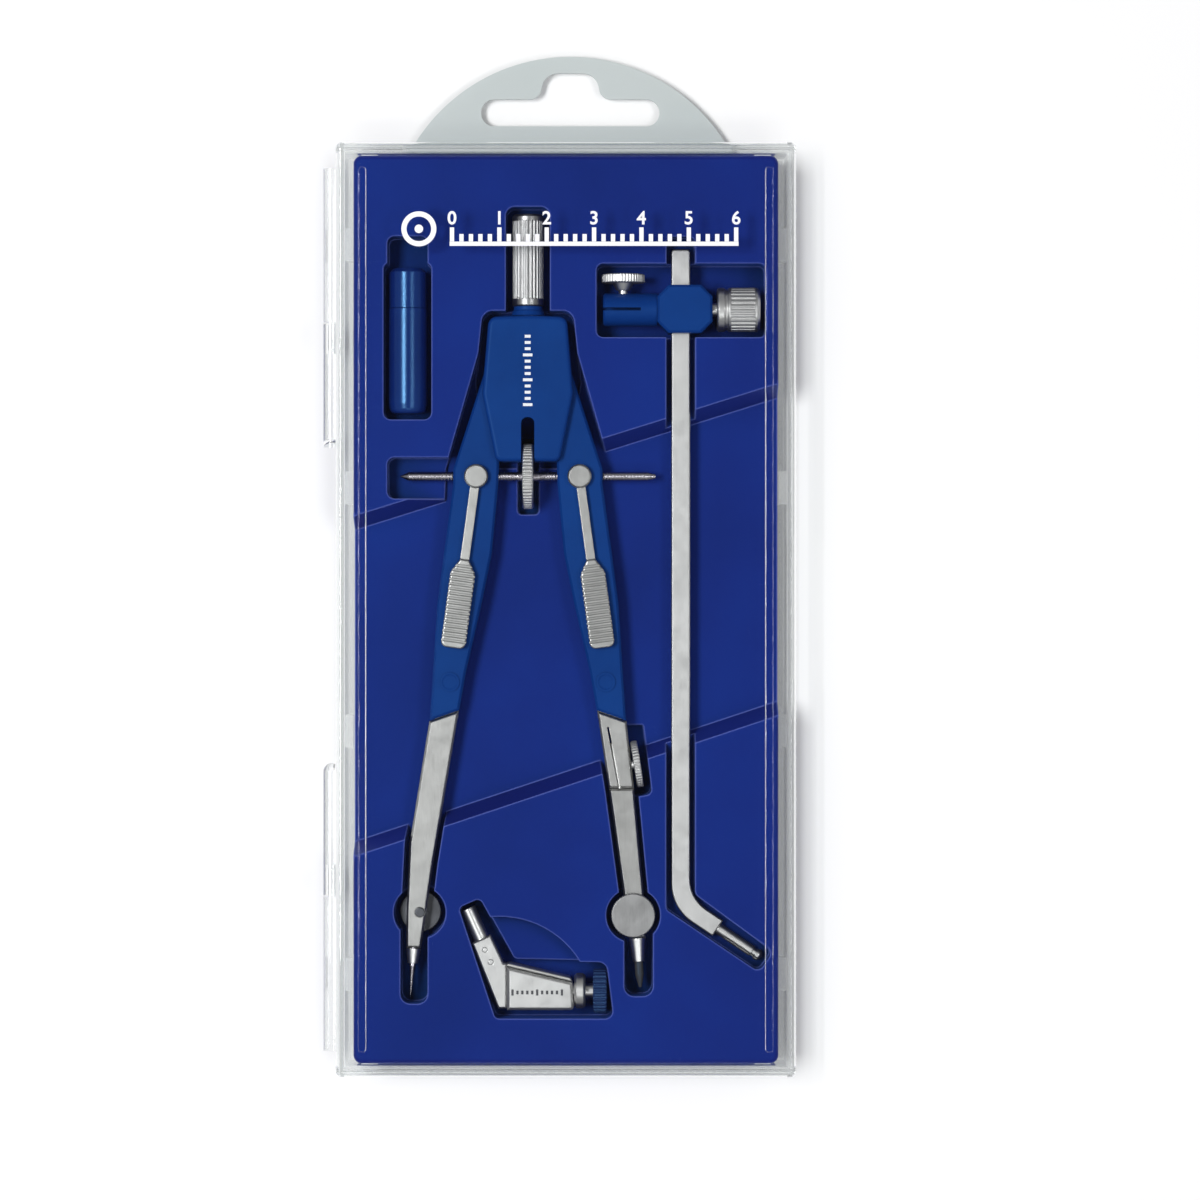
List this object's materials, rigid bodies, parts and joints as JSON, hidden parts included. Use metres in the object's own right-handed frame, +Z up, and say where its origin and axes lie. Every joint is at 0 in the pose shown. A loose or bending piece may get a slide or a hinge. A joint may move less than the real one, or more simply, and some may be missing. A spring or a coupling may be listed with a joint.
{
  "type": "drafting instrument case",
  "caption": "Clear hinged drafting case with hang tab and blue flocked tray holding a quick-set bow compass, extension bar with slider, pen adapter and lead tube.",
  "frame": {"origin": "centre of the case's flat bottom face, case lying on its back", "axes": "+Z up through the lid, +Y towards the hang tab, +X away from the hinge side"},
  "size_m": [0.101, 0.2185, 0.022],
  "materials": {
    "clear_styrene": "clear moulded polystyrene, polished",
    "frosted_tab": "frosted translucent polypropylene",
    "blue_flock": "short-pile flock on formed sheet",
    "blue_plastic": "satin moulded plastic",
    "satin_nickel": "satin nickel plate, lightly brushed",
    "leg_nickel": "dull nickel plate, finely brushed",
    "bright_nickel": "bright nickel plate with knurled edges",
    "dark_nickel": "darker polished nickel plate",
    "pale_collar": "pale bead-blasted metal",
    "needle_steel": "ground and thread-cut steel",
    "graphite": "dull graphite",
    "navy_plastic": "satin moulded plastic with fine knurl",
    "blue_tube": "glossy moulded plastic"
  },
  "bodies": {
    "case_base": {"base_shell": "clear_styrene", "flocked_tray": "blue_flock", "head_cap_front": "blue_plastic", "head_cap_rear": "blue_plastic", "compass_neck": "blue_plastic", "compass_handle": "bright_nickel", "pivot_pins": "bright_nickel", "extension_bar": "satin_nickel", "bar_spigot": "satin_nickel", "adapter_arm": "satin_nickel", "adapter_rivets": "satin_nickel", "adapter_body": "satin_nickel", "adapter_jaw": "satin_nickel", "adapter_collar": "satin_nickel", "adapter_screw": "bright_nickel", "lead_tube": "blue_tube", "spare_leads": "graphite"},
    "lid": {"lid_shell": "clear_styrene"},
    "hang_tab": {"hang_tab": "frosted_tab"},
    "left_leg": {"leg_left": "blue_plastic", "spindle_nut_left": "leg_nickel", "knee_rivet_left": "blue_plastic", "needle_leg": "leg_nickel", "needle_collar": "pale_collar", "needle": "needle_steel"},
    "right_leg": {"leg_right": "blue_plastic", "spindle_nut_right": "leg_nickel", "knee_rivet_right": "blue_plastic", "socket_leg": "leg_nickel", "lead_insert": "leg_nickel", "lead_cone": "pale_collar", "graphite_lead": "graphite"},
    "spindle": {"spindle": "needle_steel", "adjusting_wheel": "bright_nickel"},
    "left_lever": {"release_lever_left": "leg_nickel"},
    "right_lever": {"release_lever_right": "leg_nickel"},
    "needle_clamp": {"needle_clamp_screw": "dark_nickel"},
    "lead_clamp": {"lead_clamp_screw": "bright_nickel"},
    "socket_clamp": {"socket_clamp_screw": "bright_nickel"},
    "slider": {"slider_body": "blue_plastic", "slider_socket": "blue_plastic"},
    "slider_thumb": {"slider_thumb_screw": "bright_nickel"},
    "slider_lock": {"slider_lock_knob": "bright_nickel", "slider_lock_stud": "bright_nickel"},
    "adapter_nut": {"adapter_nut": "navy_plastic"},
    "tube_cap": {"lead_tube_cap": "blue_tube"}
  },
  "joints": [
    {"name": "lid_hinge", "type": "hinge", "parent": "case_base", "child": "lid", "pos_m": [-0.05, 0, 0.011], "axis": [0, -1, 0], "range_deg": [0, 180]},
    {"name": "hang_tab_slide", "type": "slide", "parent": "case_base", "child": "hang_tab", "axis": [0, -1, 0], "range_m": [0, 0.0185]},
    {"name": "spindle_turn", "type": "hinge", "parent": "case_base", "child": "spindle", "pos_m": [-0.0081, 0.02837, 0.0115], "axis": [1, 0, 0], "range_deg": [-86, 86]},
    {"name": "left_leg_hinge", "type": "hinge", "parent": "case_base", "child": "left_leg", "pos_m": [-0.0119, 0.05237, 0.0115], "axis": [0, 0, -1], "range_deg": [-0.4, 0.4]},
    {"name": "right_leg_hinge", "type": "hinge", "parent": "case_base", "child": "right_leg", "pos_m": [-0.0043, 0.05237, 0.0115], "axis": [0, 0, 1], "range_deg": [-0.4, 0.4]},
    {"name": "left_release", "type": "hinge", "parent": "left_leg", "child": "left_lever", "pos_m": [-0.0191, 0.02837, 0.0115], "axis": [0, 0, 1], "range_deg": [0, 7], "stiffness_Nm_per_rad": 0.02, "springref_deg": -2.86},
    {"name": "right_release", "type": "hinge", "parent": "right_leg", "child": "right_lever", "pos_m": [0.0029, 0.02837, 0.0115], "axis": [0, 0, -1], "range_deg": [0, 7], "stiffness_Nm_per_rad": 0.02, "springref_deg": -2.86},
    {"name": "needle_clamp_turn", "type": "hinge", "parent": "left_leg", "child": "needle_clamp", "pos_m": [-0.0311, -0.06443, 0.0115], "axis": [0, 0, 1], "continuous": true},
    {"name": "lead_clamp_turn", "type": "hinge", "parent": "right_leg", "child": "lead_clamp", "pos_m": [0.0143, -0.06503, 0.0115], "axis": [0, 0, 1], "continuous": true},
    {"name": "socket_clamp_turn", "type": "hinge", "parent": "right_leg", "child": "socket_clamp", "pos_m": [0.01445, -0.03306, 0.0115], "axis": [0.9877, 0.1564, 0], "continuous": true},
    {"name": "slider_travel", "type": "slide", "parent": "case_base", "child": "slider", "axis": [0, 1, 0], "range_m": [-0.0008, 0.0008]},
    {"name": "slider_thumb_turn", "type": "hinge", "parent": "slider", "child": "slider_thumb", "pos_m": [0.0122, 0.0696, 0.0115], "axis": [0, 1, 0], "continuous": true},
    {"name": "slider_lock_turn", "type": "hinge", "parent": "slider", "child": "slider_lock", "pos_m": [0.0322, 0.0639, 0.0115], "axis": [1, 0, 0], "continuous": true},
    {"name": "adapter_nut_turn", "type": "hinge", "parent": "case_base", "child": "adapter_nut", "pos_m": [0.0072, -0.08125, 0.0115], "axis": [1, 0, 0], "continuous": true},
    {"name": "tube_cap_slide", "type": "slide", "parent": "case_base", "child": "tube_cap", "axis": [0, 1, 0], "range_m": [0, 0.005]}
  ],
  "couplings": [
    {"joint": "left_leg_hinge", "follows": "spindle_turn", "ratio": 0.004642},
    {"joint": "right_leg_hinge", "follows": "spindle_turn", "ratio": 0.004642}
  ]
}
